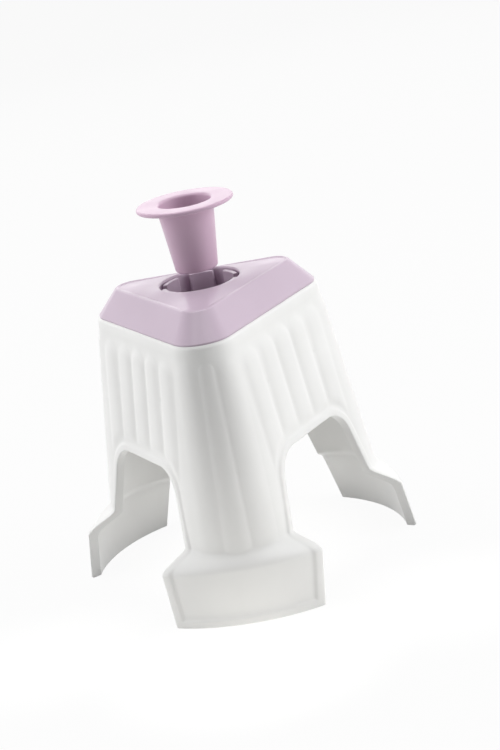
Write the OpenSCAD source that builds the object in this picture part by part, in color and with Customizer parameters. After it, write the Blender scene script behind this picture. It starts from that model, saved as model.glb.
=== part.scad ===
// Olive scoring tool: a three-legged stand with a feed cap, a throat with six blades and a thimble pusher.
// The table is z = 0, the throat stands on the Z axis and one leg points along -Y.

/* [Stand] */
// Height of the stand, from the table to the seam under the cap
stand_h = 88.5; // [80:0.5:110]
// Distance from the middle to the axis of each rounded corner
corner_r = 30; // [29:0.5:36]
// Corner radius at the top of the stand
corner_top = 11.6; // [11:0.2:14]
// Corner radius of the legs just above the feet
corner_low = 20; // [18:0.5:23]
// Height of the rounded shoulder under the cap
shoulder_h = 4; // [2:0.5:6]
// How far the shoulder draws in at the seam
shoulder_in = 1.1; // [0.5:0.1:1.5]
// Thickness of the moulded wall
wall = 2.4; // [1.8:0.1:3]
// Thickness of the deck that carries the blade set
deck = 2.4; // [1.8:0.1:4]

/* [Feet] */
// Outer radius of the feet at the table
foot_r = 56.5; // [55:0.5:64]
// Distance from the middle to the centre of each foot's outer curve
foot_arc_offset = 3; // [1:0.5:8]
// Height of the foot plates below the step
foot_h = 16.5; // [12:0.5:20]
// Height of the curved step from foot to leg
step_h = 6.5; // [5:0.5:12]
// Lean of the foot plates, inwards over their height
foot_lean = 2.6; // [0.4:0.1:3]

/* [Arches] */
// Height of each arch
arch_h = 46.5; // [38:0.5:56]
// Width of each arch across its top
arch_top_w = 39.5; // [30:0.5:46]
// Width of each arch at the table
arch_low_w = 64; // [58:0.5:72]
// Radius of the arch's upper corners
arch_corner = 10.5; // [4:0.5:12]
// Width of the raised border around arches and feet
border_w = 2.6; // [1.5:0.1:4]
// Height of the raised border
border_rise = 0.7; // [0.3:0.1:1.2]
// Width of the flat channel between the border and the ribs
border_channel = 1.2; // [0.6:0.1:3]

/* [Ribs] */
// Ribs on each face
rib_count = 5; // [3:2:5]
// Distance between the ribs on a face
rib_pitch = 10; // [8:0.5:12]
// Width of the groove between two ribs
rib_groove = 0.8; // [0.4:0.1:2]
// Height of the ribs
rib_rise = 0.7; // [0.4:0.1:1]
// Distance from the seam down to the domed tops of the ribs
rib_top_gap = 5.5; // [4:0.5:10]
// Half angle of the rib on the middle of each corner
corner_rib_angle = 13; // [9:0.5:15]
// Height at which the ribs beside it fade out above the feet
rib_fade = 0.15; // [0.05:0.05:0.4]

/* [Cap] */
// Height of the cap above the seam
cap_h = 9.5; // [8:0.5:14]
// Corner radius of the cap at its upper edge
cap_top = 4.6; // [3.5:0.1:6]
// Wall thickness of the cap
cap_wall = 1.8; // [1.4:0.1:2.2]
// Height of the stand's rim that locates the cap
spigot_h = 3.2; // [2:0.2:4]
// Radius of the rounded upper edge
cap_edge = 1.2; // [0.6:0.1:1.6]
// Height of the upright edge above the seam
cap_lip = 0.6; // [0.3:0.1:1]
// Width of the rim round the crowned top
cap_rim = 1.8; // [1:0.1:2.5]
// Rise of the top from its rim to the feed hole
cap_crown = 1.2; // [0.6:0.1:1.6]
// Diameter of the feed hole
hole_d = 26.4; // [25:0.2:27]
// Width of the level lip round the feed hole
hole_lip = 1.4; // [1:0.1:2]
// Bevel round the mouth of the feed hole
hole_bevel = 0.5; // [0.2:0.1:0.8]
// Wall of the collar that hangs round the feed hole
collar_wall = 1.8; // [1.2:0.1:2.5]

/* [Blade set] */
// Inner diameter of the throat under the guide fingers
throat_d = 22.4; // [21:0.2:23]
// Narrowing of the throat towards its lower end, on the radius
throat_taper = 1.4; // [0.5:0.1:2]
// Thickness of the throat tube at its upper end
throat_wall = 5; // [4:0.1:5.5]
// Depth of the throat tube below the deck's top
throat_depth = 20; // [18:0.5:24]
// Width of the flange that rests on the deck
flange_w = 4.6; // [3.5:0.1:5]
// Thickness of that flange
flange_t = 1.5; // [1.2:0.1:2]
// Width of the gaps between the guide fingers
finger_gap = 4.6; // [3:0.1:6]
// Depth of the finger tips below the lip of the feed hole
finger_drop = 0.7; // [0.4:0.1:2]
// Thickness of the blades
blade_t = 0.5; // [0.3:0.05:0.8]
// Height of the blades
blade_h = 15.5; // [13:0.5:16.5]
// Radius left open between the blade edges
blade_tip_r = 7; // [6.8:0.1:8]
// Length of the upright cutting edge
blade_edge_h = 7; // [4:0.5:9]
// Width of the ground bevel on the cutting edge
blade_bevel = 1.2; // [0.6:0.1:2]
// Thickness of the ring that closes the blade slots
retainer_t = 2.5; // [2:0.1:4]
// Wall of the retaining ring's collar
retainer_wall = 2.4; // [1.6:0.1:3]
// Height of the retaining ring's collar
retainer_grip = 6; // [4:0.5:8]

/* [Pusher] */
// Diameter of the brim
brim_d = 32; // [30:0.5:38]
// Thickness of the brim
brim_t = 1.4; // [1:0.1:2]
// Outer diameter of the thimble under the brim
pusher_top_d = 18.8; // [18:0.1:19.6]
// Outer diameter of the thimble at its tip
pusher_tip_d = 14; // [12:0.1:14.4]
// Length of the thimble below the brim
pusher_l = 21.5; // [20:0.5:23]
// Wall thickness of the thimble
pusher_wall = 1.5; // [1.2:0.1:1.8]
// Depth of the hollow under the tip that seats the olive
tip_dish = 0.8; // [0.3:0.1:1.2]
// Height of the raised pusher's brim above the rim of the cap
pusher_lift = 26.5; // [26:0.5:40]

/* [Clearances] */
// Gap round pieces that slip into each other
slip = 0.2; // [0.1:0.05:0.4]
// Gap on each side of a blade in its slot
blade_slip = 0.1; // [0.05:0.05:0.2]

/* [Hidden] */

leg_count = 3;
blade_count = 6;
white = [0.95, 0.95, 0.94];
lilac = [0.80, 0.73, 0.82];
mauve = [0.74, 0.63, 0.75];
steel = [0.72, 0.73, 0.75];

// Facets of a corner's arc, of the curved step, of the shoulder and of the round forms
arc_n = 16;
step_n = 6;
shoulder_n = 4;
rib_fn = 36;
corner_fn = 36;
edge_fn = 16;
round_fn = 96;
brim_n = 8;
over = 1;

// Heights of the main levels
leg_z = foot_h + step_h;
shoulder_z = stand_h - shoulder_h;
top_z = stand_h + cap_h;
rib_top_z = stand_h - rib_top_gap;
throat_low_z = stand_h - throat_depth;
retainer_z = throat_low_z - retainer_t;
crown_z = top_z + cap_crown;
finger_z = crown_z - finger_drop;

// Radii that the pieces share
hole_r = hole_d / 2;
collar_r = hole_r + collar_wall;
throat_r = throat_d / 2;
throat_low_r = throat_r - throat_taper;
tube_r = throat_r + throat_wall;
flange_r = tube_r + flange_w;
finger_r = hole_r - 2 * slip;
deck_hole_r = tube_r + slip;
retainer_r = tube_r + slip + retainer_wall;
cap_low = corner_top - shoulder_in;
cap_draw = (cap_low - cap_top) / cap_h;

// Corner radius of the leg and body, which widens steadily downwards
lean = (corner_low - corner_top) / (shoulder_z - leg_z);
face_tilt = atan(lean);
function body_f(z) = corner_top + lean * (shoulder_z - z);
function leg_dir(k) = -90 + 360 / leg_count * k;
function face_dir(k) = leg_dir(k) + 180 / leg_count;
// Distance of a flat face from the middle, for corners of radius f
function face_r(f) = corner_r * cos(180 / leg_count) + f;

// One closed section: three arcs of radius f about points at distance c, at height z
function section(z, c, f) = [
    for (k = [0 : leg_count - 1])
        for (i = [0 : arc_n])
            let (dir = leg_dir(k), half = 180 / leg_count, a = dir - half + 2 * half * i / arc_n)
                [c * cos(dir) + f * cos(a), c * sin(dir) + f * sin(a), z]
];

// Levels of the stand's skin as [z, c, f], moved out by grow, with the step lowered by drop
function foot_f(z) = foot_r - foot_arc_offset - foot_lean * z / foot_h;
function stand_levels(grow, drop, low) = concat(
    [[low, foot_arc_offset, foot_f(low) + grow]],
    [[foot_h - drop, foot_arc_offset, foot_f(foot_h) + grow]],
    [for (i = [1 : step_n])
        let (u = (1 - cos(180 * i / step_n)) / 2)
            [foot_h - drop + step_h * i / step_n,
             foot_arc_offset + (corner_r - foot_arc_offset) * u,
             foot_f(foot_h) + (body_f(leg_z) - foot_f(foot_h)) * u + grow]],
    [for (i = [0 : shoulder_n])
        let (u = i / shoulder_n, z = shoulder_z + shoulder_h * u)
            [z, corner_r, corner_top - shoulder_in * (1 - sqrt(1 - u * u)) + grow]]
);

// Solid through a stack of sections
module loft(levels) {
    n = leg_count * (arc_n + 1);
    m = len(levels);
    points = [for (l = levels) each section(l[0], l[1], l[2])];
    sides = [
        for (j = [0 : m - 2])
            for (i = [0 : n - 1])
                let (a = j * n + i, b = j * n + (i + 1) % n)
                    each [[a, a + n, b + n], [a, b + n, b]]
    ];
    low_face = [for (i = [0 : n - 1]) i];
    top_face = [for (i = [n - 1 : -1 : 0]) (m - 1) * n + i];
    polyhedron(points = points, faces = concat([low_face], sides, [top_face]));
}

// Outline of an arch seen square to its face, widened by grow, with its lower corners under the table
module arch_outline(grow) {
    slope = (arch_low_w - arch_top_w) / 2 / arch_h;
    sink = 2 * arch_corner + over;
    low_w = arch_low_w / 2 + slope * sink;
    offset(r = arch_corner + grow)
        offset(delta = -arch_corner)
            polygon([[-low_w, -sink], [low_w, -sink], [arch_top_w / 2, arch_h], [-arch_top_w / 2, arch_h]]);
}

// The three arches, cut from the middle outwards
module arches(grow) {
    for (k = [0 : leg_count - 1])
        rotate(face_dir(k))
            rotate([90, 0, 90])
                linear_extrude(foot_r + 2 * over)
                    arch_outline(grow);
}

// A rib across a flat face at distance t from its middle, with a domed top
module face_rib(t) {
    half_w = (rib_pitch - rib_groove) / 2;
    ball_r = (half_w * half_w + rib_rise * rib_rise) / (2 * rib_rise);
    sunk = (ball_r - rib_rise) / cos(face_tilt);
    hull()
        for (z = [leg_z, rib_top_z - half_w])
            translate([face_r(body_f(z)) - sunk, t, z])
                sphere(ball_r, $fn = rib_fn);
}

// A rib down a rounded corner: each end is [z, angle from the corner's middle, half angle, rise]
module corner_rib(ends) {
    hull()
        for (end = ends) {
            f = body_f(end[0]);
            crest = f + end[3];
            x = (crest * crest - f * f) / (2 * crest - 2 * f * cos(end[2]));
            translate([corner_r, 0, end[0]])
                rotate(end[1])
                    translate([x, 0, 0])
                        sphere(crest - x, $fn = rib_fn);
        }
}

// All ribs, kept clear of the raised border and below the shoulder; those on the corners reach the step
module ribs() {
    half_w = (rib_pitch - rib_groove) / 2;
    mid_z = rib_top_z - body_f(rib_top_z) * sin(corner_rib_angle);
    side_z = rib_top_z - half_w;
    side_half = half_w / body_f(side_z) * 180 / PI;
    top_rise = rib_rise * corner_top / corner_low;
    difference() {
        for (k = [0 : leg_count - 1]) {
            rotate(face_dir(k))
                for (i = [0 : rib_count - 1])
                    face_rib((i - (rib_count - 1) / 2) * rib_pitch);
            rotate(leg_dir(k)) {
                corner_rib([[mid_z, 0, corner_rib_angle, top_rise],
                            [foot_h, 0, corner_rib_angle, rib_rise]]);
                for (side = [-1, 1])
                    corner_rib([[side_z, side * (corner_rib_angle + side_half), side_half, top_rise],
                                [foot_h, side * 2 * corner_rib_angle, corner_rib_angle, rib_fade]]);
            }
        }
        arches(border_w + border_channel);
        translate([-foot_r, -foot_r, shoulder_z])
            cube([2 * foot_r, 2 * foot_r, stand_h]);
    }
}

// Raised border along the arches and the lower edge of the feet
module border() {
    intersection() {
        loft(stand_levels(border_rise, 0, 0));
        union() {
            arches(border_w);
            translate([-foot_r - over, -foot_r - over, 0])
                cube([2 * (foot_r + over), 2 * (foot_r + over), border_w]);
        }
    }
}

// Upright rim on the deck that locates the cap, cut back round the blade carrier's flange
module cap_spigot() {
    outer = cap_low - cap_wall - slip;
    outer_top = outer - cap_draw * spigot_h;
    inner = outer_top - cap_wall;
    difference() {
        loft([[stand_h - deck / 2, corner_r, outer],
              [stand_h, corner_r, outer],
              [stand_h + spigot_h, corner_r, outer_top]]);
        loft([[stand_h - deck, corner_r, inner], [stand_h + spigot_h + over, corner_r, inner]]);
        translate([0, 0, stand_h])
            cylinder(r = flange_r + slip, h = spigot_h + over, $fn = round_fn);
    }
}

// Moulded three-legged stand
module stand() {
    color(white)
        difference() {
            union() {
                difference() {
                    union() {
                        loft(stand_levels(0, 0, 0));
                        ribs();
                        border();
                    }
                    intersection() {
                        loft(stand_levels(-wall, wall / 2, -over));
                        translate([-foot_r, -foot_r, -2 * over])
                            cube([2 * foot_r, 2 * foot_r, stand_h - deck + 2 * over]);
                    }
                    arches(0);
                }
                cap_spigot();
            }
            cylinder(r = deck_hole_r, h = stand_h + cap_h, $fn = round_fn);
        }
}

// Puts children on each corner axis
module at_corners() {
    for (k = [0 : leg_count - 1])
        rotate(leg_dir(k))
            translate([corner_r, 0, 0])
                children();
}

// Cap with sloping sides, a crowned top and a collar round the feed hole
module cap() {
    hollow_h = cap_h - cap_wall;
    hollow_r = cap_low - cap_wall;
    color(lilac)
        difference() {
            union() {
                difference() {
                    translate([0, 0, stand_h])
                        hull()
                            at_corners() {
                                cylinder(r = cap_low, h = cap_lip, $fn = corner_fn);
                                translate([0, 0, cap_h - cap_edge])
                                    rotate_extrude($fn = corner_fn)
                                        translate([cap_top - cap_edge, 0])
                                            circle(cap_edge, $fn = edge_fn);
                            }
                    translate([0, 0, stand_h])
                        hull()
                            at_corners()
                                translate([0, 0, -over])
                                    cylinder(r1 = hollow_r + cap_draw * over,
                                             r2 = hollow_r - cap_draw * hollow_h,
                                             h = hollow_h + over, $fn = corner_fn);
                }
                hull() {
                    translate([0, 0, top_z - cap_edge])
                        at_corners()
                            cylinder(r = cap_top - cap_rim, h = cap_edge, $fn = corner_fn);
                    translate([0, 0, top_z])
                        cylinder(r = hole_r + hole_lip, h = cap_crown, $fn = round_fn);
                }
                translate([0, 0, stand_h + flange_t])
                    cylinder(r = collar_r, h = cap_h - flange_t, $fn = round_fn);
            }
            translate([0, 0, stand_h])
                cylinder(r = hole_r, h = cap_h + cap_crown + over, $fn = round_fn);
            translate([0, 0, crown_z - hole_bevel])
                cylinder(r1 = hole_r, r2 = hole_r + hole_bevel + over, h = hole_bevel + over,
                         $fn = round_fn);
        }
}

// Flanged throat with guide fingers above and blade slots below
module blade_carrier() {
    slot_w = blade_t + 2 * blade_slip;
    color(lilac)
        difference() {
            rotate_extrude($fn = round_fn)
                polygon([
                    [throat_low_r, throat_low_z],
                    [tube_r, throat_low_z],
                    [tube_r, stand_h],
                    [flange_r, stand_h],
                    [flange_r, stand_h + flange_t],
                    [finger_r, stand_h + flange_t],
                    [finger_r, finger_z],
                    [throat_r, finger_z],
                    [throat_r, stand_h]
                ]);
            for (i = [1 : blade_count])
                rotate(360 / blade_count * i) {
                    translate([throat_low_r / 2, -slot_w / 2, throat_low_z - over])
                        cube([tube_r, slot_w, blade_h + blade_slip + over]);
                    translate([throat_r / 2, -finger_gap / 2, stand_h + flange_t + slip])
                        cube([hole_r, finger_gap, cap_h]);
                }
        }
}

// One scoring blade, with its ground edge towards the throat
module blade(i) {
    root_r = tube_r - slip;
    top_r = throat_low_r + throat_taper * blade_h / throat_depth;
    ground_r = blade_tip_r + blade_bevel;
    color(steel)
        rotate(360 / blade_count * i)
            intersection() {
                rotate([90, 0, 0])
                    linear_extrude(blade_t, center = true)
                        translate([0, throat_low_z])
                            polygon([[root_r, 0], [blade_tip_r, 0], [blade_tip_r, blade_edge_h],
                                     [top_r, blade_h], [root_r, blade_h]]);
                translate([0, 0, throat_low_z])
                    linear_extrude(blade_h)
                        polygon([[blade_tip_r, 0], [ground_r, blade_t / 2], [tube_r, blade_t / 2],
                                 [tube_r, -blade_t / 2], [ground_r, -blade_t / 2]]);
            }
}

// Ring that closes the blade slots from below
module blade_retainer() {
    color(white)
        rotate_extrude($fn = round_fn)
            polygon([
                [throat_low_r, retainer_z],
                [retainer_r, retainer_z],
                [retainer_r, throat_low_z + retainer_grip],
                [tube_r + slip, throat_low_z + retainer_grip],
                [tube_r + slip, throat_low_z],
                [throat_low_r, throat_low_z]
            ]);
}

// Thimble pusher for a fingertip, drawn raised above the feed hole
module pusher() {
    brim_r = brim_d / 2;
    tip_r = pusher_tip_d / 2;
    neck_r = pusher_top_d / 2;
    floor_t = pusher_wall + tip_dish;
    color(mauve)
        translate([0, 0, top_z + pusher_lift])
            rotate_extrude($fn = round_fn)
                polygon(concat(
                    [[0, tip_dish - pusher_l],
                     [tip_r - pusher_wall, -pusher_l],
                     [tip_r, tip_dish / 2 - pusher_l]],
                    [for (i = [0 : brim_n])
                        let (a = 180 - 90 * i / brim_n)
                            [neck_r + brim_t * (1 + cos(a)), brim_t * (sin(a) - 1)]],
                    [for (i = [0 : brim_n])
                        let (a = -90 + 180 * i / brim_n)
                            [brim_r - brim_t / 2 + brim_t / 2 * cos(a), brim_t / 2 * (1 + sin(a))]],
                    [[neck_r - pusher_wall / 2, brim_t],
                     [neck_r - pusher_wall, brim_t / 2],
                     [tip_r - pusher_wall, floor_t - pusher_l + pusher_wall],
                     [tip_r - 2 * pusher_wall, floor_t - pusher_l],
                     [0, floor_t - pusher_l]]
                ));
}

stand();
cap();
blade_carrier();
for (i = [1 : blade_count])
    blade(i);
blade_retainer();
pusher();
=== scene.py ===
import math

import bmesh
import bpy
from mathutils import Matrix, Vector


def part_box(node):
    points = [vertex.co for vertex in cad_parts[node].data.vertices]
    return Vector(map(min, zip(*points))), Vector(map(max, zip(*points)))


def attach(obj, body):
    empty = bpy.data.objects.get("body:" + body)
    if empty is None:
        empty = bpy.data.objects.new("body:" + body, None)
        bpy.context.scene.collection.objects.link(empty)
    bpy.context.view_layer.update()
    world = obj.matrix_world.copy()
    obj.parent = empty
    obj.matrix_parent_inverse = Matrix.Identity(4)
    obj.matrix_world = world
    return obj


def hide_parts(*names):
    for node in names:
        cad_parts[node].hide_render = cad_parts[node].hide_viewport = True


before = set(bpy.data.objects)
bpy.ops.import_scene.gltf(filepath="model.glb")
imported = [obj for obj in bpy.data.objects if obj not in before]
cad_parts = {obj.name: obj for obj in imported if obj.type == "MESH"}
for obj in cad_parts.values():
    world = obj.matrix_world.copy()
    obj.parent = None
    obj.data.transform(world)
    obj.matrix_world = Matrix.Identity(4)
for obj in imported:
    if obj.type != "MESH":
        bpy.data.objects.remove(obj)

bl_info = {
    "name": "Olive scoring tool",
    "version": (1, 0, 0),
    "blender": (4, 5, 0),
    "location": "3D View > Sidebar > Olive tool",
    "description": "Builds the pieces of an olive scoring tool, and its stage",
    "category": "Add Mesh",
}

MM = 0.001
QUARTER = math.pi / 2
SIXTH = math.pi / 3
WALL_FACES = tuple(math.radians(turn) for turn in (-30, 90, 210))
BLADES = tuple(f"blade_{number}" for number in range(1, 7))
# Points closer than this are merged, and points this close to a plane lie on it.
MERGE = 0.005 * MM
NEAR = 0.001 * MM
# Bend from which an edge is shaded sharp, and from which a guide finger's edge is rounded.
CREASE = math.radians(35)
SHARP = math.radians(40)

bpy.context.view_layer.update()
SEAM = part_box("cap")[0].z
CAP_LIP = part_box("cap")[1].z
THROAT_LOW, THROAT_HIGH = (corner.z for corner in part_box("blade_carrier"))
RING_LOW, RING_HIGH = (corner.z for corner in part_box("blade_retainer"))
THIMBLE_TIP, BRIM_TOP = (corner.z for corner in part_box("pusher"))
BRIM_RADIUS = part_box("pusher")[1].x

# The stand's grid: the width of its band along an arch, half the strip of close rows on the
# border's edge, the row where the shoulder starts, and the places of an arch's corner where
# the columns get close and where they turn from the leg along the seam.
ARCH_BAND = 5 * MM
CLOSE_ROWS = 0.5 * MM
SHOULDER_ROW = 1.89
CLOSE_COLUMNS = 1.6
SEAM_TURN = 5 / 3
# Half the slope at the border's edge, and how far past the border the ribs are at full height.
BORDER_SOFT = 0.7 * MM
RIB_FADE = 6 * BORDER_SOFT
# Ribs: how many stand on each side of a face's middle one, and the power that flattens a
# crest. Then, at the top and at the step, the rise of a corner's middle and side ribs as a
# share of a face's, and half the angle of a side rib.
SIDE_RIBS = 2
RIB_POWER = 1.4
MIDDLE_RISE = (0.3, 0.5)
SIDE_RISE = (0.35, 0.2)
SIDE_TURN = (0.37, 0.24)
# Height over an arch from which the inner wall's rows close up, to end under the deck.
CEILING = 20 * MM
# Rings of the deck and its ridge: the distance inside the seam, 1 on the ridge and 0 on the
# deck, and the corner radius of the ceiling below.
DECK_RINGS = (
    (2.0 * MM, 0, 7.6 * MM),
    (3.99 * MM, 1, 7.0 * MM),
    (6.0 * MM, 1, 6.4 * MM),
    (5.6 * MM, 0, 5.8 * MM),
)
# The cap: the share of a side's points on its flat part, and the straight share of the fall
# from the feed hole to the rim.
FLAT_SHARE = 0.55
CONE_SHARE = 0.7
# Flat faces in the rounding of a turned edge and of a finger's edge.
TURNED_FACES = 7
FINGER_FACES = 4

# Range that the noise fills, and the scales of the plastic's clouds, haze and mould grain and
# of the steel's grinding lines.
NOISE_RANGE = (0.3, 0.7)
CLOUDS, HAZE, MOULD_GRAIN, GRINDING = 38, 160, 2600, 900
# Darkest shade of the clouds and of the grinding lines, as a share of the plain colour.
CLOUD_SHADE = 0.955
LINE_SHADE = 0.8
# Roughness of the haze as shares of the plain one, of the polish, and of the ground steel.
HAZE_ROUGHNESS = (0.85, 1.2)
POLISH_ROUGHNESS = 0.12
STEEL_ROUGHNESS = (0.22, 0.4)
# How clearly the mould grain and the grinding lines stand out, and the depth of the lines.
GRAIN_STRENGTH = 0.35
LINE_STRENGTH = 0.4
LINE_DEPTH = 0.02 * MM
# Each plastic's colour, roughness, depth of the mould grain and weight of the polish.
PLASTICS = {
    "moulded_white": ("white", 0.34, 0.03 * MM, 0.0),
    "moulded_lilac": ("lilac", 0.33, 0.02 * MM, 0.15),
    "moulded_mauve": ("mauve", 0.34, 0.02 * MM, 0.15),
}

# Each soft box's place, size, and whether gloss mirrors it. They face one point.
LAMPS = {
    "left": ((-0.86, 0.06, 0.38), (0.9, 0.7), False),
    "right": ((0.87, -0.03, 0.38), (0.9, 0.7), False),
    "back": ((-0.1, 0.95, 0.45), (1.5, 0.5), True),
    "top": ((0, -0.04, 1.0), (0.9, 0.7), True),
}
LAMP_AIM = (0, 0, 0.06)
# Patches of painted glow on the floor: the strength's name, the centre, the full reach and the
# end.
PATCHES = (
    ("painted_glow", (0, -0.088, 0), 0.01, 0.055),
    ("side_painted_glow", (-0.065, -0.06, 0), 0.01, 0.05),
    ("side_painted_glow", (0.065, -0.06, 0), 0.01, 0.05),
    ("inner_painted_glow", (0, 0.005, 0), 0.02, 0.05),
)
FLOOR_PAINT = (0.65, 0.65, 0.65, 1)
# Colour of the floor's painted glow, which lights the object from below.
PAINTED_GLOW_COLOUR = (1, 0.98, 0.92, 1)
# Share of plain white in the floor that the camera sees. The rest keeps the shadow.
FLOOR_WHITE = 0.94
# The world: the way to its dim front, where the front starts and is full, and its fill and its
# shine in gloss, at the sides and at the front.
FRONT = (0.05, -0.97, 0.2)
FRONT_RANGE = (0.25, 0.85)
FILL = (0.1, 0.03)
SHINE = (1.05, 0.05)
# The camera's sensor in millimetres, and the nearest and the farthest that it sees.
SENSOR_HEIGHT = 24
VIEW_RANGE = (0.01, 50)


def length(label, words, metres):
    """A size that a user may change."""
    return bpy.props.FloatProperty(
        name=label, description=words, default=metres, min=0.0, unit="LENGTH", precision=5
    )


def angle(label, words, degrees):
    """An angle that a user may change."""
    return bpy.props.FloatProperty(
        name=label, description=words, default=math.radians(degrees), unit="ROTATION"
    )


def colour(label, words, shade):
    """A colour that a user may change."""
    return bpy.props.FloatVectorProperty(
        name=label, description=words, default=shade, min=0.0, max=1.0, subtype="COLOR"
    )


def number(label, words, value):
    """A plain number that a user may change."""
    return bpy.props.FloatProperty(name=label, description=words, default=value, min=0.0)


class StandSizes(bpy.types.PropertyGroup):
    """Sizes of the white three-legged shell."""

    height: length("Height", "Table to the seam under the cap", SEAM)
    corner_reach: length("Corner reach", "Throat axis to the axis of a rounded corner", 30 * MM)
    corner_top: length("Top corner", "Corner radius under the shoulder", 11.6 * MM)
    corner_low: length("Low corner", "Corner radius above the step", 20 * MM)
    shoulder: length("Shoulder", "Height of the rounded shoulder", 4 * MM)
    tuck: length("Tuck", "How far the shoulder turns in at the seam", 1.1 * MM)
    wall: length("Wall", "Thickness of the side walls", 2.4 * MM)
    deck: length("Deck", "Thickness of the plate under the cap", 2.4 * MM)
    deck_hole: length("Deck hole", "Radius of the hole for the throat", 16.4 * MM)
    spigot: length("Spigot", "Height of the ridge that the cap sits round", 3.2 * MM)
    foot_reach: length("Foot reach", "Throat axis to the outside of a foot", 56.5 * MM)
    foot_offset: length("Foot offset", "Throat axis to the centre of a foot's arc", 3 * MM)
    foot: length("Foot height", "Height of the upright part of a foot", 16.5 * MM)
    foot_lean: length("Foot lean", "How far a foot leans in over its height", 2.6 * MM)
    step: length("Step", "Height of the curved step above a foot", 6.5 * MM)
    arch: length("Arch height", "Table to the top of an arch", 46.5 * MM)
    arch_top: length("Arch width, top", "Width of an arch at its top", 39.5 * MM)
    arch_low: length("Arch width, low", "Width of an arch at the table", 64 * MM)
    arch_corner: length("Arch corner", "Radius of an arch's upper corners", 10.5 * MM)
    border: length("Border", "Width of the raised border round arches and feet", 2.6 * MM)
    border_rise: length("Border rise", "Height of the border above the skin", 0.55 * MM)
    edge: length("Edge", "Rounding of the outer edges", 0.5 * MM)
    rib_pitch: length("Rib pitch", "Distance between two ribs of a face", 10 * MM)
    rib_rise: length("Rib rise", "Height of a rib above the skin", 0.85 * MM)
    rib_gap: length("Rib gap", "Seam to the domed tops of the ribs", 5.5 * MM)
    rib_turn: angle("Corner rib", "Half the angle that a corner's middle rib covers", 13)


class CapSizes(bpy.types.PropertyGroup):
    """Sizes of the lilac cap."""

    low: length("Low corner", "Corner radius at the seam", 10.5 * MM)
    crest: length("Crest corner", "Corner radius at the middle of the rim's crest", 5.4 * MM)
    crest_reach: length("Crest reach", "Throat axis to the axis of a crest's corner", 26.8 * MM)
    edge: length("Edge", "Rounding of the upper outer edge", 1.2 * MM)
    lip: length("Lip", "Height of the upright edge at the seam", 0.6 * MM)
    crown: length("Crown", "Rise of the top from its rim to the feed hole", 1.5 * MM)
    rim: length("Rim", "Width of the slope inside the rim's crest", 1.0 * MM)
    groove: length("Groove", "Depth of the line inside the rim", 0.3 * MM)
    hole: length("Hole", "Radius of the feed hole", 13.2 * MM)
    mouth: length("Mouth", "Rounding of the hole's upper edge", 0.7 * MM)
    wall: length("Wall", "Thickness of the sloping sides", 1.8 * MM)
    collar: length("Collar", "Thickness of the collar round the hole", 1.8 * MM)
    collar_lift: length("Collar lift", "Seam to the collar's lower end", 1.5 * MM)
    chamfer: length("Chamfer", "Chamfer of the lower outer edge", 0.15 * MM)


class ThroatSizes(bpy.types.PropertyGroup):
    """Sizes of the throat, its guide fingers and the ring below it."""

    bore: length("Bore", "Radius of the throat at the seam", 11.2 * MM)
    bore_low: length("Bore, low", "Radius of the throat at its lower end", 9.8 * MM)
    tube: length("Tube", "Outer radius of the throat", 16.2 * MM)
    flange: length("Flange", "Outer radius of the flange on the deck", 20.8 * MM)
    flange_thick: length("Flange thickness", "Thickness of the flange", 1.5 * MM)
    finger: length("Finger", "Outer radius of the guide fingers", 12.8 * MM)
    finger_gap: length("Finger gap", "Gap between two guide fingers", 4.6 * MM)
    slot: length("Slot", "Width of a blade's slot", 0.66 * MM)
    slot_height: length("Slot height", "Height of a blade's slot", 15.6 * MM)
    edge: length("Edge", "Rounding of the fingers' edges", 0.35 * MM)
    ring: length("Ring", "Outer radius of the retaining ring", 18.8 * MM)
    ring_floor: length("Ring floor", "Thickness of the ring under the blades", 2.3 * MM)
    ring_gap: length("Ring gap", "Gap between the ring and the tube", 0.2 * MM)
    ring_edge: length("Ring edge", "Rounding of the ring's mouth and upper edge", 0.5 * MM)
    ring_low_edge: length("Ring low edge", "Rounding of the ring's lower edge", 0.7 * MM)
    ring_grip_edge: length("Ring grip edge", "Rounding round the tube", 0.4 * MM)


class PusherSizes(bpy.types.PropertyGroup):
    """Sizes of the brimmed thimble."""

    brim: length("Brim", "Radius of the brim", BRIM_RADIUS)
    brim_thick: length("Brim thickness", "Thickness of the brim", 1.4 * MM)
    neck: length("Neck", "Radius below the brim", 9.4 * MM)
    neck_round: length("Neck rounding", "Rounding between the neck and the brim", 1.8 * MM)
    tip: length("Tip", "Radius at the tip", 7 * MM)
    tip_round: length("Tip rounding", "Rounding of the tip's edge", 0.9 * MM)
    tip_dish: length("Tip dish", "Depth of the hollow in the tip", 0.8 * MM)
    tip_flat: length("Tip flat", "Width of the flat ring round that hollow", 1.9 * MM)
    dish_round: length("Dish rounding", "Rounding of the hollow's edge", 1.2 * MM)
    wall: length("Wall", "Thickness of the thimble", 1.5 * MM)
    mouth_wall: length("Mouth wall", "Neck to the finger hole's upper edge", 0.7 * MM)
    mouth_round: length("Mouth rounding", "Rounding of that edge", 0.9 * MM)
    floor_round: length("Floor rounding", "Rounding at the finger hole's floor", 1.6 * MM)


class Finishes(bpy.types.PropertyGroup):
    """Colours of the plastics and the steel."""

    white: colour("White", "The stand's and the ring's plastic", (0.86, 0.86, 0.85))
    lilac: colour("Lilac", "The cap's and the throat's plastic", (0.585, 0.475, 0.575))
    mauve: colour("Mauve", "The pusher's plastic", (0.62, 0.43, 0.56))
    steel: colour("Steel", "The blades' ground steel", (0.62, 0.63, 0.65))


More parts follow.
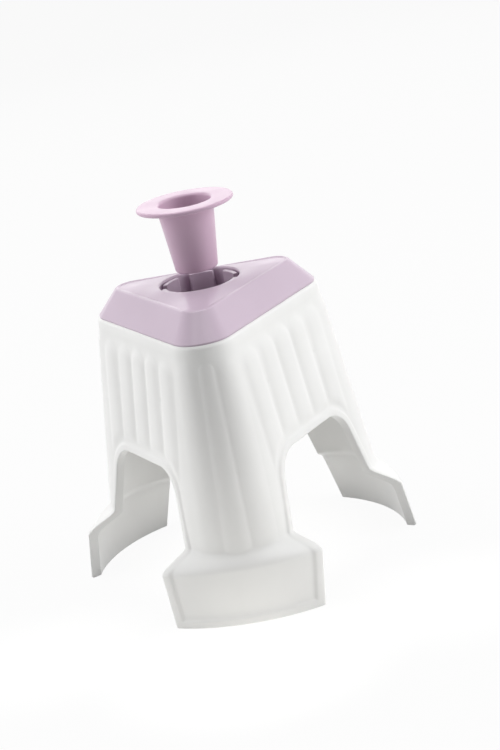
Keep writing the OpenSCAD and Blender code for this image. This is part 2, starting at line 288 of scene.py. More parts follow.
class StageSizes(bpy.types.PropertyGroup):
    """The camera, the lamps and the floor."""

    target: length("Target", "Height of the point that the camera faces", 50 * MM)
    distance: length("Distance", "Camera to that point", 770 * MM)
    drop: angle("Drop", "How far the camera looks down", 18.07)
    swing: angle("Swing", "How far the camera stands to the right", 4.71)
    roll: angle("Roll", "How far the camera is turned about its view", 11.01)
    lens: number("Lens", "Focal length in millimetres, for a sensor 24 mm high", 73.87)
    shift_x: number("Shift across", "Sideways shift of the picture", 0.0312)
    shift_y: number("Shift up", "Upward shift of the picture", 0.0593)
    left_lamp: number("Left lamp", "Power of the left soft box in watts", 6.1)
    right_lamp: number("Right lamp", "Power of the right soft box in watts", 7.0)
    back_lamp: number("Back lamp", "Power of the low soft box behind in watts", 2.2)
    top_lamp: number("Top lamp", "Power of the soft box above in watts", 5.0)
    # Strengths of the floor's painted glow, which lights the object from below in place of
    # bounce light.
    painted_glow: number("Bounce", "Floor's light in front of the object", 1.4)
    side_painted_glow: number("Side bounce", "Floor's light beside the front leg", 0.6)
    inner_painted_glow: number("Inner bounce", "Floor's light between the legs", 0.6)
    floor: length("Floor", "Width of the floor", 12.0)


def ease(low, high, value):
    """Smooth climb from 0 at low to 1 at high."""
    share = min(1.0, max(0.0, (value - low) / (high - low)))
    return share * share * (3 - 2 * share)


def mix(start, end, share):
    """Value between start and end."""
    return start + (end - start) * share


def spread(start, *runs):
    """Values in even steps from start through each run of (steps, end)."""
    values = [start]
    for steps, end in runs:
        begin = values[-1]
        values += [mix(begin, end, (count + 1) / steps) for count in range(steps)]
    return values


def quarter_steps(radius, steps):
    """Distances from an edge at which even steps round it meet the face."""
    return [radius * (1 - math.cos(QUARTER * count / steps)) for count in range(steps + 1)]


def skin(stand, z, inside):
    """Distance of the corner axes from the throat axis, and the corner radius, at height z."""
    step_top = stand.foot + stand.step
    under_shoulder = stand.height - stand.shoulder
    if inside:
        z = min(z + stand.wall / 2, max(z, step_top))
    body = mix(stand.corner_low, stand.corner_top, (z - step_top) / (under_shoulder - step_top))
    foot = stand.foot_reach - stand.foot_offset - stand.foot_lean * min(1, z / stand.foot)
    climb = min(1.0, max(0.0, (z - stand.foot) / stand.step))
    share = (1 - math.cos(math.pi * climb)) / 2
    if z > under_shoulder:
        rise = min(1.0, (z - under_shoulder) / stand.shoulder)
        body = stand.corner_top - stand.tuck * (1 - math.sqrt(1 - rise * rise))
    radius = mix(foot, body, share) if climb < 1 else body
    if inside:
        radius -= stand.wall
    return mix(stand.foot_offset, stand.corner_reach, share), radius


def arch_lines(stand):
    """Lean of an arch's sides, and the middle of its upper corner across and up."""
    lean = math.atan((stand.arch_low - stand.arch_top) / 2 / stand.arch)
    up = stand.arch - stand.arch_corner
    across = stand.arch_low / 2 - math.tan(lean) * up - stand.arch_corner / math.cos(lean)
    return lean, across, up


def arch_path(stand, place, away):
    """Point beside an arch: place runs up its side (to 1), round its corner (2) and on (3)."""
    lean, corner_across, corner_up = arch_lines(stand)
    reach = stand.arch_corner + away
    if place <= 1:
        z = place * corner_up
        return stand.arch_low / 2 - math.tan(lean) * z + away / math.cos(lean), z
    if place <= 2:
        turn = (place - 1) * QUARTER
        if turn < lean:
            reach /= math.cos(lean - turn)
        return corner_across + reach * math.cos(turn), corner_up + reach * math.sin(turn)
    return corner_across * (3 - place), stand.arch + away


def arch_distance(stand, across, z):
    """Distance of a point of a face from the opening of its arch."""
    lean, corner_across, corner_up = arch_lines(stand)
    turn = math.atan2(z - corner_up, across - corner_across)
    if across <= corner_across and z > corner_up:
        return z - stand.arch
    if turn < lean:
        return (across - stand.arch_low / 2 + math.tan(lean) * z) * math.cos(lean)
    return math.hypot(across - corner_across, z - corner_up) - stand.arch_corner


def rim_path(stand, place, half):
    """Where the grid of a half face ends: its share of the half width, and the height."""
    _, corner_across, corner_up = arch_lines(stand)
    along_top = corner_across / half
    if place <= 1:
        return 1.0, place * corner_up
    if place < SEAM_TURN:
        return 1.0, mix(corner_up, stand.height, (place - 1) / (SEAM_TURN - 1))
    if place <= 2:
        return mix(1.0, along_top, (place - SEAM_TURN) / (2 - SEAM_TURN)), stand.height
    return along_top * (3 - place), stand.height


def swell(offset):
    """Height of a rib's section, from 1 on its crest to 0 at an offset of 1."""
    return math.cos(QUARTER * offset**RIB_POWER) if offset < 1 else 0.0


def rib_height(stand, across, z, turn, radius):
    """Height of the ribs at a point, turn being the angle past the flat part of a face."""
    top = stand.height - stand.rib_gap
    half = stand.rib_pitch / 2
    if turn <= 0:
        crest = min(SIDE_RIBS, round(across / stand.rib_pitch)) * stand.rib_pitch
        return stand.rib_rise * swell(math.hypot(across - crest, max(0, z - top + half)) / half)
    from_leg = SIXTH - turn
    step_top = stand.foot + stand.step
    down = min(1, max(0, (top - z) / (top - step_top)))
    middle = radius * math.sin(stand.rib_turn)
    offset = math.hypot(from_leg / stand.rib_turn, max(0, z - top + middle) / middle)
    height = mix(*MIDDLE_RISE, down) * stand.rib_rise * swell(offset)
    side_half = mix(*SIDE_TURN, down)
    beside = (from_leg - stand.rib_turn - side_half) / side_half
    width = radius * side_half
    offset = math.hypot(beside, max(0, z - top + width) / width)
    return max(height, mix(*SIDE_RISE, down) * stand.rib_rise * swell(offset))


def relief(stand, across, z, turn, reach, radius):
    """How far the outer skin stands out at a point: border, ribs and rounded edges."""
    away = arch_distance(stand, across, z)
    border = 1 - ease(stand.border - BORDER_SOFT, stand.border + BORDER_SOFT, min(away, z))
    rise = stand.border_rise * border
    step_top = stand.foot + stand.step
    lean = (stand.corner_low - stand.corner_top) / (stand.height - stand.shoulder - step_top)
    straight = stand.corner_reach + stand.corner_low + lean * (step_top - z)
    flare = max(0, reach + radius - straight) if z < step_top else 0
    ribs = max(0, rib_height(stand, across, z, turn, radius) - flare)
    rise += ribs * ease(stand.border + BORDER_SOFT, stand.border + RIB_FADE, away)
    for distance in (away, z):
        if distance < stand.edge:
            rise -= stand.edge - math.sqrt(stand.edge**2 - (stand.edge - max(0, distance)) ** 2)
    return rise


def shell_point(stand, face, side, place, row, inside):
    """Point of the stand's shell: row runs across the band (to 1) and on to the seam (2)."""
    across, z = arch_path(stand, place, min(row, 1) * ARCH_BAND)
    reach, radius = skin(stand, z, inside)
    flat = reach * math.sin(SIXTH)
    along = across
    if across > flat:
        along = flat + radius * math.asin((across - flat) / radius)
    if row > 1:
        top_reach, top_radius = skin(stand, stand.height, False)
        half = top_reach * math.sin(SIXTH) + top_radius * SIXTH
        end_share, end_z = rim_path(stand, place, half)
        share = mix(along / (flat + radius * SIXTH), end_share, row - 1)
        z = mix(z, end_z, row - 1)
        reach, radius = skin(stand, z, inside)
        flat = reach * math.sin(SIXTH)
        along = share * (flat + radius * SIXTH)
    turn = max(0, (along - flat) / radius)
    across = min(along, flat) + radius * math.sin(turn)
    out = reach * math.cos(SIXTH) + radius * math.cos(turn)
    if inside:
        ceiling = stand.arch + CEILING
        if z > ceiling:
            share = (z - ceiling) / (stand.height - ceiling)
            z = mix(ceiling, stand.height - stand.deck, share)
    else:
        rise = relief(stand, across, z, turn, reach, radius)
        across += rise * math.sin(turn)
        out += rise * math.cos(turn)
    return Vector((
        out * math.cos(face) - side * across * math.sin(face),
        out * math.sin(face) + side * across * math.cos(face),
        z,
    ))


def core_seat(point, reach):
    """Nearest place on the triangle between the corner axes, and the way out from it."""
    face = max(WALL_FACES, key=lambda turn: point.x * math.cos(turn) + point.y * math.sin(turn))
    out = Vector((math.cos(face), math.sin(face), 0))
    side = Vector((-math.sin(face), math.cos(face), 0))
    flat = reach * math.sin(SIXTH)
    across = min(flat, max(-flat, point.dot(side)))
    core = out * reach * math.cos(SIXTH) + side * across
    way = Vector((point.x, point.y, 0)) - core
    return core, way.normalized()


def corner_ring(point, reach, radius, z):
    """Point of a ring with rounded corners, straight out from the core triangle."""
    core, way = core_seat(point, reach)
    return core + way * radius + Vector((0, 0, z))


def round_ring(point, radius, z):
    """Point of a circle round the throat axis, in the same direction as the given point."""
    way = Vector((point.x, point.y, 0)).normalized()
    return way * radius + Vector((0, 0, z))


def sew(bm):
    """Merge the points that coincide, and turn all faces outwards."""
    bmesh.ops.remove_doubles(bm, verts=bm.verts, dist=MERGE)
    bmesh.ops.recalc_face_normals(bm, faces=bm.faces)


def grown_edges(bm, edges):
    """Extrude a loop of edges, and give the new loop and its points."""
    made = bmesh.ops.extrude_edge_only(bm, edges=edges)["geom"]
    points = [item for item in made if isinstance(item, bmesh.types.BMVert)]
    fresh = set(points)
    loop = [
        item for item in made
        if isinstance(item, bmesh.types.BMEdge) and fresh.issuperset(item.verts)
    ]
    return loop, points


def piece(name, bm, material, body, nodes):
    """Make an object of a finished mesh, which rides on its body and stands for its nodes."""
    for edge in bm.edges:
        edge.smooth = edge.calc_face_angle(math.pi) < CREASE
    for face in bm.faces:
        face.smooth = True
    mesh = bpy.data.meshes.new(name)
    bm.to_mesh(mesh)
    bm.free()
    mesh.materials.append(material)
    obj = bpy.data.objects.new(name, mesh)
    bpy.context.scene.collection.objects.link(obj)
    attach(obj, body)
    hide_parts(*nodes)


def build_stand(stand, white):
    """White shell with three arches: outer skin, deck and spigot, then the inner wall."""
    bm = bmesh.new()
    inner = bm.verts.layers.float_vector.new("inner")
    corner_up = arch_lines(stand)[2]
    border_low = stand.border - CLOSE_ROWS
    border_high = stand.border + CLOSE_ROWS
    low_edge = [distance / corner_up for distance in quarter_steps(stand.edge, 4)]
    places = low_edge[:-1] + spread(
        low_edge[-1],
        (4, border_low / corner_up),
        (4, border_high / corner_up),
        (8, stand.foot / corner_up),
        (16, (stand.foot + stand.step) / corner_up),
        (12, 1.0),
        (24, CLOSE_COLUMNS),
        (12, SEAM_TURN),
        (16, 2.0),
        (22, 3.0),
    )
    edge_rows = [distance / ARCH_BAND for distance in quarter_steps(stand.edge, 4)]
    rows = edge_rows[:-1] + spread(
        edge_rows[-1],
        (3, border_low / ARCH_BAND),
        (5, border_high / ARCH_BAND),
        (3, 1.0),
        (32, SHOULDER_ROW),
        (8, 2.0),
    )
    wide, high = len(places) - 1, len(rows) - 1
    for face in WALL_FACES:
        for side in (1, -1):
            grid = bmesh.ops.create_grid(bm, x_segments=wide, y_segments=high, size=0.5)
            for vert in grid["verts"]:
                place = places[round((vert.co.x + 0.5) * wide)]
                row = rows[round((vert.co.y + 0.5) * high)]
                vert.co = shell_point(stand, face, side, place, row, False)
                vert[inner] = shell_point(stand, face, side, place, row, True)
    sew(bm)

    under = stand.height - stand.deck
    loop = [
        edge for edge in bm.edges
        if edge.is_boundary and min(vert.co.z for vert in edge.verts) > stand.height - NEAR
    ]
    for inset, raised, ceiling_radius in DECK_RINGS:
        radius = stand.corner_top - stand.tuck - inset
        z = stand.height + raised * stand.spigot
        loop, points = grown_edges(bm, loop)
        for vert in points:
            vert[inner] = corner_ring(vert.co, stand.corner_reach, ceiling_radius, under)
            vert.co = corner_ring(vert.co, stand.corner_reach, radius, z)
    _, points = grown_edges(bm, loop)
    for vert in points:
        vert[inner] = round_ring(vert.co, stand.deck_hole, under)
        vert.co = round_ring(vert.co, stand.deck_hole, stand.height)

    made = bmesh.ops.extrude_face_region(bm, geom=bm.faces[:], use_keep_orig=True)["geom"]
    for item in made:
        if isinstance(item, bmesh.types.BMVert):
            item.co = item[inner]
    # The extrusion turns the outer skin inwards too.
    bmesh.ops.reverse_faces(bm, faces=bm.faces)
    piece("stand_shell", bm, white, "stand_body", ["stand"])


def ring_seat(turn):
    """Place on the triangle between corner axes 1 from the middle, and the way out from it."""
    sector = turn % (2 * SIXTH)
    face = turn - sector + SIXTH - QUARTER
    place = sector / SIXTH - 1
    past = max(0, abs(place) - FLAT_SHARE) / (1 - FLAT_SHARE)
    across = math.copysign(min(1, abs(place) / FLAT_SHARE), place) * math.sin(SIXTH)
    bend = face + math.copysign(past, place) * SIXTH
    out = Vector((math.cos(face), math.sin(face), 0))
    side = Vector((-math.sin(face), math.cos(face), 0))
    return out * math.cos(SIXTH) + side * across, Vector((math.cos(bend), math.sin(bend), 0))


def build_cap(cap, stand, lilac):
    """Lilac cap: one closed loft from the collar over the crowned top and down the sides."""
    reach = stand.corner_reach
    crest_reach = cap.crest_reach
    rim = CAP_LIP - cap.crown
    low = SEAM + cap.collar_lift
    lip = SEAM + cap.lip
    run = (reach - crest_reach) * math.cos(SIXTH) + cap.low - cap.crest - cap.edge
    slope = math.atan2(run, rim - cap.edge - lip)
    collar = cap.hole + cap.collar

    # Each ring: 0 for a circle to 1 for rounded corners, the circle's radius, the reach and the
    # radius of the corners, and the height.
    rings = [(0, cap.hole, reach, 0, low), (0, cap.hole, reach, 0, mix(low, CAP_LIP, 0.5))]
    for turn in spread(0.0, (6, QUARTER)):
        out = cap.hole + cap.mouth * (1 - math.cos(turn))
        rings.append((0, out, reach, 0, CAP_LIP - cap.mouth * (1 - math.sin(turn))))
    groove = cap.crest - cap.rim
    for share in spread(0.0, (14, 1.0))[1:]:
        fall = mix(share * share, share, CONE_SHARE)
        z = mix(CAP_LIP, rim - cap.groove, fall)
        rings.append((share, cap.hole + cap.mouth, crest_reach, groove, z))
    for share in spread(0.0, (8, 1.0))[1:]:
        z = rim - cap.groove * ease(1, 0, share)
        rings.append((1, 0, crest_reach, mix(groove, cap.crest, share), z))
    for turn in spread(QUARTER, (8, slope))[1:]:
        radius = cap.crest + cap.edge * math.cos(turn)
        rings.append((1, 0, crest_reach, radius, rim - cap.edge + cap.edge * math.sin(turn)))
    shoulder_radius, shoulder_z = rings[-1][3:]
    for share in spread(0.0, (8, 1.0))[1:]:
        radius = mix(shoulder_radius, cap.low, share)
        z = mix(shoulder_z, lip, share)
        rings.append((1, 0, mix(crest_reach, reach, share), radius, z))
    inside_top = rim - cap.wall
    up = (inside_top - lip) / (shoulder_z - lip)
    inside_radius = mix(cap.low, shoulder_radius, up) - cap.wall
    rings += [
        (1, 0, reach, cap.low, SEAM + cap.chamfer),
        (1, 0, reach, cap.low - cap.chamfer, SEAM),
        (1, 0, reach, cap.low - cap.wall, SEAM),
        (1, 0, mix(reach, crest_reach, up), inside_radius, inside_top),
        (0, collar, reach, 0, inside_top),
        (0, collar, reach, 0, low),
        rings[0],
    ]

    bm = bmesh.new()
    core = bm.verts.layers.float_vector.new("core")
    way = bm.verts.layers.float_vector.new("way")
    points = bmesh.ops.create_circle(bm, segments=360, radius=reach)["verts"]
    loop = bm.edges[:]
    for vert in points:
        vert[core], vert[way] = ring_seat(math.atan2(vert.co.y, vert.co.x))
    for count, (share, circle_radius, axis_reach, radius, z) in enumerate(rings):
        if count:
            loop, points = grown_edges(bm, loop)
        for vert in points:
            round_point = round_ring(vert[core] * reach + vert[way] * cap.low, circle_radius, z)
            corner_point = vert[core] * axis_reach + vert[way] * radius + Vector((0, 0, z))
            vert.co = round_point.lerp(corner_point, share)
    sew(bm)
    piece("cap_shell", bm, lilac, "stand_body", ["cap"])


def turned(outline, steps, closed):
    """Spin an outline of (radius, height, rounding) about the throat axis."""
    bm = bmesh.new()
    corners = [bm.verts.new((radius, 0, z)) for radius, z, rounding in outline]
    pairs = list(zip(corners, corners[1:]))
    if closed:
        pairs.append((corners[-1], corners[0]))
    for pair in pairs:
        bm.edges.new(pair)
    for corner, (radius, z, rounding) in zip(corners, outline):
        if rounding:
            bmesh.ops.bevel(
                bm, geom=[corner], offset=rounding, offset_type="OFFSET",
                segments=TURNED_FACES, profile=0.5, affect="VERTICES", material=-1,
                clamp_overlap=True,
            )
    bmesh.ops.spin(
        bm, geom=bm.verts[:] + bm.edges[:], cent=(0, 0, 0), axis=(0, 0, 1),
        angle=2 * math.pi, steps=steps, use_merge=True,
    )
    sew(bm)
    return bm


def build_pusher(pusher, mauve):
    """Mauve thimble with its wide brim."""
    under = BRIM_TOP - pusher.brim_thick
    tip = THIMBLE_TIP
    # Just under half, so that the two roundings of the brim don't meet.
    brim_round = pusher.brim_thick * 0.48
    floor = tip + pusher.tip_dish + pusher.wall
    outline = [
        (0, tip + pusher.tip_dish, 0),
        (pusher.tip - pusher.tip_flat, tip, pusher.dish_round),
        (pusher.tip, tip, pusher.tip_round),
        (pusher.neck, under, pusher.neck_round),
        (pusher.brim, under, brim_round),
        (pusher.brim, BRIM_TOP, brim_round),
        (pusher.neck - pusher.mouth_wall, BRIM_TOP, pusher.mouth_round),
        (pusher.tip - pusher.wall, floor, pusher.floor_round),
        (0, floor, 0),
    ]
    bm = turned(outline, steps=160, closed=False)
    piece("pusher_thimble", bm, mauve, "pusher_body", ["pusher"])


def build_ring(throat, white):
    """White ring that closes the blade slots from below."""
    floor = RING_LOW + throat.ring_floor
    grip = throat.tube + throat.ring_gap
    outline = [
        (throat.bore_low, RING_LOW, throat.ring_edge),
        (throat.ring, RING_LOW, throat.ring_low_edge),
        (throat.ring, RING_HIGH, throat.ring_edge),
        (grip, RING_HIGH, throat.ring_grip_edge),
        (grip, floor, 0),
        (throat.bore_low, floor, 0),
    ]
    bm = turned(outline, steps=120, closed=True)
    piece("retaining_ring", bm, white, "stand_body", ["blade_retainer"])


def build_throat(throat, lilac):
    """Slotted throat with its flange and six rounded guide fingers."""
    slot_top = THROAT_LOW + throat.slot_height
    flange_top = SEAM + throat.flange_thick
    slot_bore = mix(throat.bore_low, throat.bore, throat.slot_height / (SEAM - THROAT_LOW))
    bm = bmesh.new()
    places = {
        "low_in": (throat.bore_low, THROAT_LOW),
        "low_out": (throat.tube, THROAT_LOW),
        "slot_in": (slot_bore, slot_top),
        "slot_out": (throat.tube, slot_top),
        "bore": (throat.bore, SEAM),
        "seat": (throat.tube, SEAM),
        "flange_low": (throat.flange, SEAM),
        "flange_high": (throat.flange, flange_top),
        "root_out": (throat.finger, flange_top),
        "root_in": (throat.bore, flange_top),
        "tip_out": (throat.finger, THROAT_HIGH),
        "tip_in": (throat.bore, THROAT_HIGH),
    }
    half = SIXTH / 2
    point = {
        name: bm.verts.new((radius * math.cos(half), radius * math.sin(half), z))
        for name, (radius, z) in places.items()
    }
    sections = [
        [point[name] for name in names.split()]
        for names in (
            "slot_in slot_out seat flange_low flange_high root_out root_in bore",
            "low_in low_out slot_out slot_in",
            "root_in root_out tip_out tip_in",
        )
    ]
    faces = [bm.faces.new(section) for section in sections]
    gap_turn = throat.finger_gap / 2 / throat.finger
    slot_turn = throat.slot / 2 / throat.bore
    # Through a finger all three sections go on, through a gap two, and through a slot one.
    for keep, turn, steps in (
        (3, half - gap_turn, 10),
        (2, gap_turn - slot_turn, 5),
        (1, slot_turn, 1),
    ):
        faces = faces[:keep]
        geom = list({item for face in faces for item in (face, *face.edges, *face.verts)})
        last = bmesh.ops.spin(
            bm, geom=geom, cent=(0, 0, 0), axis=(0, 0, 1), angle=-turn, steps=steps,
        )["geom_last"]
        faces = sorted(
            (item for item in last if isinstance(item, bmesh.types.BMFace)),
            key=lambda face: (-len(face.verts), face.calc_center_median().z),
        )
    flat_ends = [
        face for face in bm.faces
        if all(abs(vert.co.y) < NEAR for vert in face.verts)
        or all(abs(vert.co.y - vert.co.x * math.tan(half)) < NEAR for vert in face.verts)
    ]
    bmesh.ops.delete(bm, geom=flat_ends, context="FACES")
    geom = bm.verts[:] + bm.edges[:] + bm.faces[:]
    bmesh.ops.mirror(bm, geom=geom, axis="Y", merge_dist=NEAR)
    geom = bm.verts[:] + bm.edges[:] + bm.faces[:]
    bmesh.ops.spin(
        bm, geom=geom, cent=(0, 0, 0), axis=(0, 0, 1),
        angle=2 * math.pi, steps=6, use_merge=True, use_duplicate=True,
    )
    sew(bm)
    sharp = [
        edge for edge in bm.edges
        if edge.calc_face_angle(0) > SHARP
        and min(vert.co.z for vert in edge.verts) > flange_top - NEAR
        and max(vert.co.xy.length for vert in edge.verts) < throat.finger + NEAR
    ]
    bmesh.ops.bevel(
        bm, geom=sharp, offset=throat.edge, offset_type="OFFSET", segments=FINGER_FACES,
        profile=0.5, affect="EDGES", material=-1, clamp_overlap=True,
    )
    piece("throat_with_fingers", bm, lilac, "stand_body", ["blade_carrier"])


def start_finish(name):
    """New material's nodes and shader, and object coordinates to lay patterns on."""
    material = bpy.data.materials.new(name)
    material.use_nodes = True
    tree = material.node_tree
    shader = tree.nodes["Principled BSDF"]
    place = tree.nodes.new("ShaderNodeTexCoord").outputs["Object"]
    return tree, shader, place


def grain(tree, place, scale, detail, stretch=(1, 1, 1)):
    """Noise on object coordinates, stretched along the axes."""
    mapping = tree.nodes.new("ShaderNodeMapping")
    mapping.inputs["Scale"].default_value = stretch
    noise = tree.nodes.new("ShaderNodeTexNoise")
    noise.inputs["Scale"].default_value = scale
    noise.inputs["Detail"].default_value = detail
    tree.links.new(place, mapping.inputs["Vector"])
    tree.links.new(mapping.outputs["Vector"], noise.inputs["Vector"])
    return noise.outputs["Fac"]


def fit_range(tree, value, before, after, style="LINEAR"):
    """Value carried over from one range to another."""
    node = tree.nodes.new("ShaderNodeMapRange")
    node.interpolation_type = style
    for name, limit in zip(("From Min", "From Max", "To Min", "To Max"), (*before, *after)):
        node.inputs[name].default_value = limit
    tree.links.new(value, node.inputs["Value"])
    return node.outputs["Result"]


def tint(tree, shader, value, dark, shade):
    """Colour the shader from a darker shade of its colour to the plain one."""
    node = tree.nodes.new("ShaderNodeMix")
    node.data_type = "RGBA"
    node.inputs["A"].default_value = (*(part * dark for part in shade), 1)
    node.inputs["B"].default_value = (*shade, 1)
    tree.links.new(fit_range(tree, value, NOISE_RANGE, (0, 1)), node.inputs["Factor"])
    tree.links.new(node.outputs["Result"], shader.inputs["Base Color"])


def raise_grain(tree, shader, height, depth, strength):
    """Fine bumps on the surface."""
    bump = tree.nodes.new("ShaderNodeBump")
    bump.inputs["Strength"].default_value = strength
    bump.inputs["Distance"].default_value = depth
    tree.links.new(height, bump.inputs["Height"])
    tree.links.new(bump.outputs["Normal"], shader.inputs["Normal"])


def moulded_plastic(name, shade, rough, grain_depth, polish):
    """Moulded plastic: faint flow clouds in the colour, uneven gloss and a fine mould grain."""
    tree, shader, place = start_finish(name)
    tint(tree, shader, grain(tree, place, CLOUDS, detail=3), CLOUD_SHADE, shade)
    uneven = [rough * part for part in HAZE_ROUGHNESS]
    haze = fit_range(tree, grain(tree, place, HAZE, detail=4), NOISE_RANGE, uneven)
    tree.links.new(haze, shader.inputs["Roughness"])
    shader.inputs["IOR"].default_value = 1.5
    shader.inputs["Coat Weight"].default_value = polish
    shader.inputs["Coat Roughness"].default_value = POLISH_ROUGHNESS
    bumps = grain(tree, place, MOULD_GRAIN, detail=2)
    raise_grain(tree, shader, bumps, grain_depth, GRAIN_STRENGTH)


def ground_steel(name, shade):
    """Steel with upright grinding lines."""
    tree, shader, place = start_finish(name)
    lines = grain(tree, place, GRINDING, detail=3, stretch=(1, 1, 0.03))
    tint(tree, shader, lines, LINE_SHADE, shade)
    uneven = fit_range(tree, lines, NOISE_RANGE, STEEL_ROUGHNESS)
    tree.links.new(uneven, shader.inputs["Roughness"])
    shader.inputs["Metallic"].default_value = 1.0
    raise_grain(tree, shader, lines, LINE_DEPTH, LINE_STRENGTH)


def finish(name, finishes):
    """One of the object's finishes, made on its first use."""
    if name not in bpy.data.materials:
        if name in PLASTICS:
            shade, rough, grain_depth, polish = PLASTICS[name]
            moulded_plastic(name, getattr(finishes, shade), rough, grain_depth, polish)
        else:
            ground_steel(name, finishes.steel)
    return bpy.data.materials[name]


def feed(tree, socket, value):
    """Give an input a plain number, or link it to another socket."""
    if isinstance(value, float):
        socket.default_value = value
    else:
        tree.links.new(value, socket)


def combine(tree, operation, first, second):
    """Number worked out from two others; either may be a socket."""
    node = tree.nodes.new("ShaderNodeMath")
    node.operation = operation
    feed(tree, node.inputs[0], first)
    feed(tree, node.inputs[1], second)
    return node.outputs["Value"]


def measure(tree, operation, place, other):
    """Distance or turn between a place and a fixed vector."""
    node = tree.nodes.new("ShaderNodeVectorMath")
    node.operation = operation
    node.inputs[1].default_value = other
    tree.links.new(place, node.inputs[0])
    return node.outputs["Value"]


def seen_rays(tree):
    """1 for rays from the camera, off gloss and through clear things."""
    path = tree.nodes.new("ShaderNodeLightPath")
    seen = path.outputs["Is Camera Ray"]
    for name in ("Is Glossy Ray", "Is Transmission Ray"):
        seen = combine(tree, "MAXIMUM", seen, path.outputs[name])
    return seen


def lay_floor(stage):
    """Plain pale floor that keeps a soft shadow, with patches of painted glow close to the
    object.
    """
    bm = bmesh.new()
    bmesh.ops.create_grid(bm, x_segments=8, y_segments=8, size=stage.floor / 2)
    mesh = bpy.data.meshes.new("floor")
    bm.to_mesh(mesh)
    bm.free()
    floor = bpy.data.objects.new("floor", mesh)
    bpy.context.scene.collection.objects.link(floor)
    material = bpy.data.materials.new("pale_floor")
    material.use_nodes = True
    tree = material.node_tree
    tree.nodes.clear()
    out = tree.nodes.new("ShaderNodeOutputMaterial")
    paint = tree.nodes.new("ShaderNodeBsdfDiffuse")
    paint.inputs["Color"].default_value = FLOOR_PAINT
    place = tree.nodes.new("ShaderNodeTexCoord").outputs["Object"]
    level = 0.0
    # Patches of painted glow, at full strength near their centres and fading to nothing.
    for strength, centre, reach, fade in PATCHES:
        far = measure(tree, "DISTANCE", place, centre)
        light = (getattr(stage, strength), 0)
        patch = fit_range(tree, far, (reach, fade), light, "SMOOTHSTEP")
        level = combine(tree, "ADD", level, patch)
    # The painted glow that lights the object from below, added to the floor's paint.
    painted_glow = tree.nodes.new("ShaderNodeEmission")
    painted_glow.inputs["Color"].default_value = PAINTED_GLOW_COLOUR
    lit = tree.nodes.new("ShaderNodeAddShader")
    glow = tree.nodes.new("ShaderNodeEmission")
    blend = tree.nodes.new("ShaderNodeMixShader")
    tree.links.new(level, painted_glow.inputs["Strength"])
    tree.links.new(paint.outputs["BSDF"], lit.inputs[0])
    tree.links.new(painted_glow.outputs["Emission"], lit.inputs[1])
    white = combine(tree, "MULTIPLY", seen_rays(tree), FLOOR_WHITE)
    tree.links.new(white, blend.inputs["Fac"])
    tree.links.new(lit.outputs["Shader"], blend.inputs[1])
    tree.links.new(glow.outputs["Emission"], blend.inputs[2])
    tree.links.new(blend.outputs["Shader"], out.inputs["Surface"])
    mesh.materials.append(material)


def pick(tree, test, plain, chosen):
    """Number that is the chosen one where the test is 1; either may be a socket."""
    node = tree.nodes.new("ShaderNodeMix")
    tree.links.new(test, node.inputs["Factor"])
    feed(tree, node.inputs["A"], plain)
    feed(tree, node.inputs["B"], chosen)
    return node.outputs["Result"]


def light_world():
    """World that is white to the camera and in gloss, with an even fill, but dim in front."""
    world = bpy.data.worlds.new("studio")
    bpy.context.scene.world = world
    world.use_nodes = True
    tree = world.node_tree
    back = tree.nodes["Background"]
    place = tree.nodes.new("ShaderNodeTexCoord").outputs["Generated"]
    path = tree.nodes.new("ShaderNodeLightPath")
    turn = measure(tree, "DOT_PRODUCT", place, FRONT)
    fill = fit_range(tree, turn, FRONT_RANGE, FILL, "SMOOTHSTEP")
    shine = fit_range(tree, turn, FRONT_RANGE, SHINE, "SMOOTHSTEP")
    unseen = pick(tree, path.outputs["Is Glossy Ray"], fill, shine)
    level = pick(tree, path.outputs["Is Camera Ray"], unseen, 1.0)
    back.inputs["Color"].default_value = (1, 1, 1, 1)
    tree.links.new(level, back.inputs["Strength"])


def hang_lamp(name, place, size, power, mirrored):
    """Soft box that faces the object, and that gloss mirrors or not."""
    lamp = bpy.data.lights.new(name, "AREA")
    lamp.shape = "RECTANGLE"
    lamp.size, lamp.size_y = size
    lamp.energy = power
    obj = bpy.data.objects.new(name, lamp)
    obj.location = place
    way = Vector(LAMP_AIM) - Vector(place)
    obj.rotation_euler = way.to_track_quat("-Z", "Y").to_euler()
    obj.visible_glossy = mirrored
    bpy.context.scene.collection.objects.link(obj)


def aim_camera(stage):
    """Camera at the photograph's angle, for a picture of 500 by 750."""
    swing = -stage.swing
    forward = Vector((
        math.sin(swing) * math.cos(stage.drop),
        math.cos(swing) * math.cos(stage.drop),
        -math.sin(stage.drop),
    ))
    level = Vector((math.cos(swing), -math.sin(swing), 0))
    upward = level.cross(forward)
    across = level * math.cos(stage.roll) - upward * math.sin(stage.roll)
    up = level * math.sin(stage.roll) + upward * math.cos(stage.roll)
    turn = Matrix((across, up, -forward)).transposed().to_4x4()
    place = Vector((0, 0, stage.target)) - forward * stage.distance
    camera = bpy.data.cameras.new("camera")
    camera.sensor_fit = "VERTICAL"
    camera.sensor_height = SENSOR_HEIGHT
    camera.lens = stage.lens
    camera.shift_x = stage.shift_x
    camera.shift_y = stage.shift_y
    camera.clip_start, camera.clip_end = VIEW_RANGE
    obj = bpy.data.objects.new("camera", camera)
    obj.matrix_world = Matrix.Translation(place) @ turn
    bpy.context.scene.collection.objects.link(obj)
    bpy.context.scene.camera = obj


class OLIVE_OT_stand(bpy.types.Operator):
    """Build the white three-legged stand"""

    bl_idname = "olive.stand"
    bl_label = "Stand"

    def execute(self, context):
        scene = context.scene
        build_stand(scene.olive_stand, finish("moulded_white", scene.olive_finishes))
        return {"FINISHED"}


class OLIVE_OT_cap(bpy.types.Operator):
    """Build the lilac cap with its crowned top and feed hole"""

    bl_idname = "olive.cap"
    bl_label = "Cap"

    def execute(self, context):
        scene = context.scene
        lilac = finish("moulded_lilac", scene.olive_finishes)
        build_cap(scene.olive_cap, scene.olive_stand, lilac)
        return {"FINISHED"}


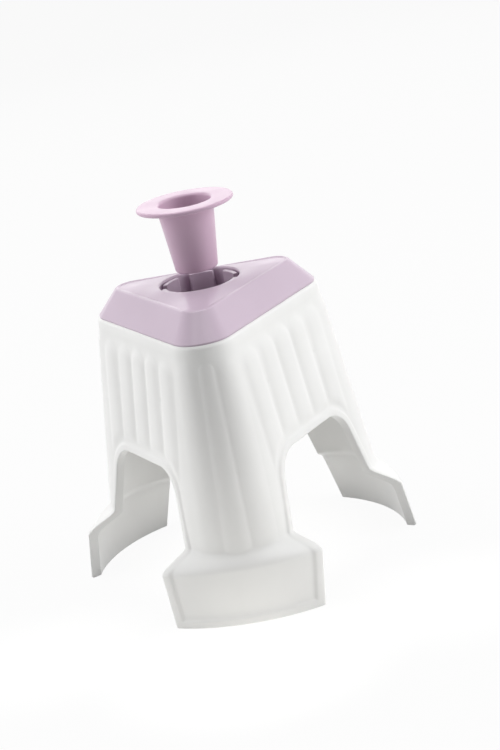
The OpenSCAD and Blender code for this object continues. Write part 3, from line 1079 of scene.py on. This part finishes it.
class OLIVE_OT_throat(bpy.types.Operator):
    """Build the throat with its guide fingers, the retaining ring and the blades' finish"""

    bl_idname = "olive.throat"
    bl_label = "Throat and blades"

    def execute(self, context):
        scene = context.scene
        build_throat(scene.olive_throat, finish("moulded_lilac", scene.olive_finishes))
        build_ring(scene.olive_throat, finish("moulded_white", scene.olive_finishes))
        for name in BLADES:
            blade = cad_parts[name]
            blade.data.materials.clear()
            blade.data.materials.append(finish("ground_steel", scene.olive_finishes))
        return {"FINISHED"}


class OLIVE_OT_pusher(bpy.types.Operator):
    """Build the mauve brimmed thimble"""

    bl_idname = "olive.pusher"
    bl_label = "Pusher"

    def execute(self, context):
        scene = context.scene
        build_pusher(scene.olive_pusher, finish("moulded_mauve", scene.olive_finishes))
        return {"FINISHED"}


class OLIVE_OT_stage(bpy.types.Operator):
    """Lay the floor, hang the lamps and aim the camera"""

    bl_idname = "olive.stage"
    bl_label = "Stage"

    def execute(self, context):
        stage = context.scene.olive_stage
        context.scene.view_settings.view_transform = "Standard"
        lay_floor(stage)
        light_world()
        for side, (place, size, mirrored) in LAMPS.items():
            hang_lamp(f"{side}_box", place, size, getattr(stage, f"{side}_lamp"), mirrored)
        aim_camera(stage)
        return {"FINISHED"}


class OLIVE_PT_tool(bpy.types.Panel):
    """Lists the steps that build the tool"""

    bl_idname = "OLIVE_PT_tool"
    bl_label = "Olive scoring tool"
    bl_space_type = "VIEW_3D"
    bl_region_type = "UI"
    bl_category = "Olive tool"

    def draw(self, context):
        for step in STEPS:
            self.layout.operator(step.bl_idname)


GROUPS = {
    "olive_stand": StandSizes,
    "olive_cap": CapSizes,
    "olive_throat": ThroatSizes,
    "olive_pusher": PusherSizes,
    "olive_finishes": Finishes,
    "olive_stage": StageSizes,
}
STEPS = (OLIVE_OT_stand, OLIVE_OT_cap, OLIVE_OT_throat, OLIVE_OT_pusher, OLIVE_OT_stage)


def register():
    """Register the classes and hang the sizes on the scene."""
    for group in (*GROUPS.values(), *STEPS, OLIVE_PT_tool):
        bpy.utils.register_class(group)
    for name, group in GROUPS.items():
        setattr(bpy.types.Scene, name, bpy.props.PointerProperty(type=group))


def unregister():
    """Take the sizes off the scene and unregister the classes."""
    for name in GROUPS:
        delattr(bpy.types.Scene, name)
    for group in reversed((*GROUPS.values(), *STEPS, OLIVE_PT_tool)):
        bpy.utils.unregister_class(group)


def main():
    """Build the tool and its stage."""
    register()
    bpy.ops.olive.stand()
    bpy.ops.olive.cap()
    bpy.ops.olive.throat()
    bpy.ops.olive.pusher()
    bpy.ops.olive.stage()


if __name__ == "__main__":
    main()
